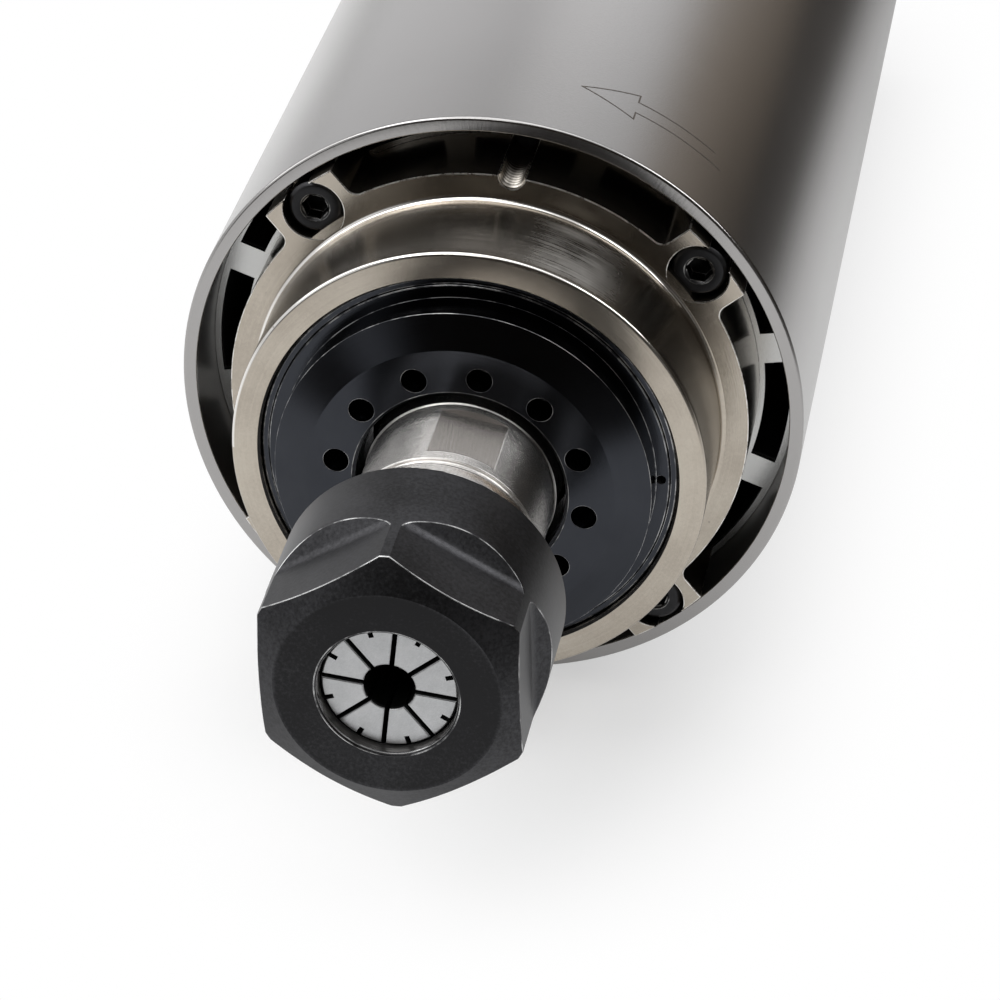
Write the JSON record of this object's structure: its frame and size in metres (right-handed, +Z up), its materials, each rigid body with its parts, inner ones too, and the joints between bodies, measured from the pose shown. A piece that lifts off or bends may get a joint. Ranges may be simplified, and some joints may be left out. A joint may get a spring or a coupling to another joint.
{
  "type": "spindle motor",
  "caption": "Air-cooled round-body spindle motor with a fan-cooled finned housing, a taper-nosed shaft, a spring collet and a hexagonal collet nut.",
  "frame": {"origin": "on the spindle axis, at the face where the front bearing housing seats on the finned housing, inside the clamping length of the tube", "axes": "-Y along the spindle axis out of the nose, +Z up as the motor lies, +X to the right as seen from the nose"},
  "size_m": [0.08, 0.2724, 0.08],
  "materials": {
    "brushed_stainless": "brushed lengthwise and round, satin",
    "extruded_aluminium": "mill finish, cut ends machined",
    "turned_steel": "fine turned, warm nickel tint",
    "black_screw": "black oxide, satin",
    "blued_steel": "blue-black oxide, satin",
    "lamination": "stacked sheet, dull",
    "copper_winding": "varnished copper wire",
    "cast_aluminium": "machined casting",
    "spring_steel": "bright spring steel",
    "plated_shell": "satin nickel plate",
    "black_plastic": "moulded, matte",
    "contact_brass": "plated contact",
    "ground_steel": "cylindrically ground",
    "fan_plastic": "moulded, glass-filled",
    "collet_steel": "finely ground, hardened",
    "black_oxide": "matte black oxide with bright worn edges",
    "bearing_steel": "polished",
    "cage_brass": "machined",
    "lead_sleeving": "silicone insulation, matte"
  },
  "bodies": {
    "motor_body": {"outer_tube": "brushed_stainless", "finned_housing": "extruded_aluminium", "front_housing": "turned_steel", "front_housing_screws": "black_screw", "retaining_nut": "blued_steel", "stator_core": "lamination", "stator_winding": "copper_winding", "rear_housing": "cast_aluminium", "rear_housing_screws": "black_screw", "wave_spring": "spring_steel", "rear_cover": "cast_aluminium", "rear_cover_screws": "black_screw", "connector_shell": "plated_shell", "connector_insert": "black_plastic", "connector_pins": "contact_brass", "connector_nut": "plated_shell", "motor_leads": "lead_sleeving", "front_bearing_a_outer_ring": "bearing_steel", "front_bearing_b_outer_ring": "bearing_steel", "rear_bearing_outer_ring": "bearing_steel"},
    "rotor": {"spindle_shaft": "ground_steel", "rotor_core": "lamination", "rotor_cage": "cast_aluminium", "fan": "fan_plastic", "fan_washer": "spring_steel", "fan_screw": "black_screw", "front_bearing_a_inner_ring": "bearing_steel", "front_bearing_b_inner_ring": "bearing_steel", "rear_bearing_inner_ring": "bearing_steel"},
    "front_bearing_a_set": {"front_bearing_a_balls": "bearing_steel", "front_bearing_a_cage": "cage_brass"},
    "front_bearing_b_set": {"front_bearing_b_balls": "bearing_steel", "front_bearing_b_cage": "cage_brass"},
    "rear_bearing_set": {"rear_bearing_balls": "bearing_steel", "rear_bearing_cage": "cage_brass"},
    "collet_body": {"collet": "collet_steel"},
    "nut_body": {"collet_nut": "black_oxide"}
  },
  "joints": [
    {"name": "spindle_spin", "type": "hinge", "parent": "motor_body", "child": "rotor", "pos_m": [0, 0, 0], "axis": [0, -1, 0], "continuous": true},
    {"name": "front_bearing_a_set_spin", "type": "hinge", "parent": "motor_body", "child": "front_bearing_a_set", "pos_m": [0, 0, 0], "axis": [0, -1, 0], "continuous": true},
    {"name": "front_bearing_b_set_spin", "type": "hinge", "parent": "motor_body", "child": "front_bearing_b_set", "pos_m": [0, 0, 0], "axis": [0, -1, 0], "continuous": true},
    {"name": "rear_bearing_set_spin", "type": "hinge", "parent": "motor_body", "child": "rear_bearing_set", "pos_m": [0, 0, 0], "axis": [0, -1, 0], "continuous": true},
    {"name": "collet_slide", "type": "slide", "parent": "rotor", "child": "collet_body", "axis": [0, -1, 0], "range_m": [0, 0.009]},
    {"name": "collet_nut_turn", "type": "hinge", "parent": "collet_body", "child": "nut_body", "pos_m": [0, 0, 0], "axis": [0, -1, 0], "range_deg": [0, 2160]}
  ],
  "couplings": [
    {"joint": "front_bearing_a_set_spin", "follows": "spindle_spin", "ratio": 0.41444},
    {"joint": "front_bearing_b_set_spin", "follows": "spindle_spin", "ratio": 0.41444},
    {"joint": "rear_bearing_set_spin", "follows": "spindle_spin", "ratio": 0.40308},
    {"joint": "collet_nut_turn", "follows": "collet_slide", "rad_per_m": 4188.7}
  ]
}
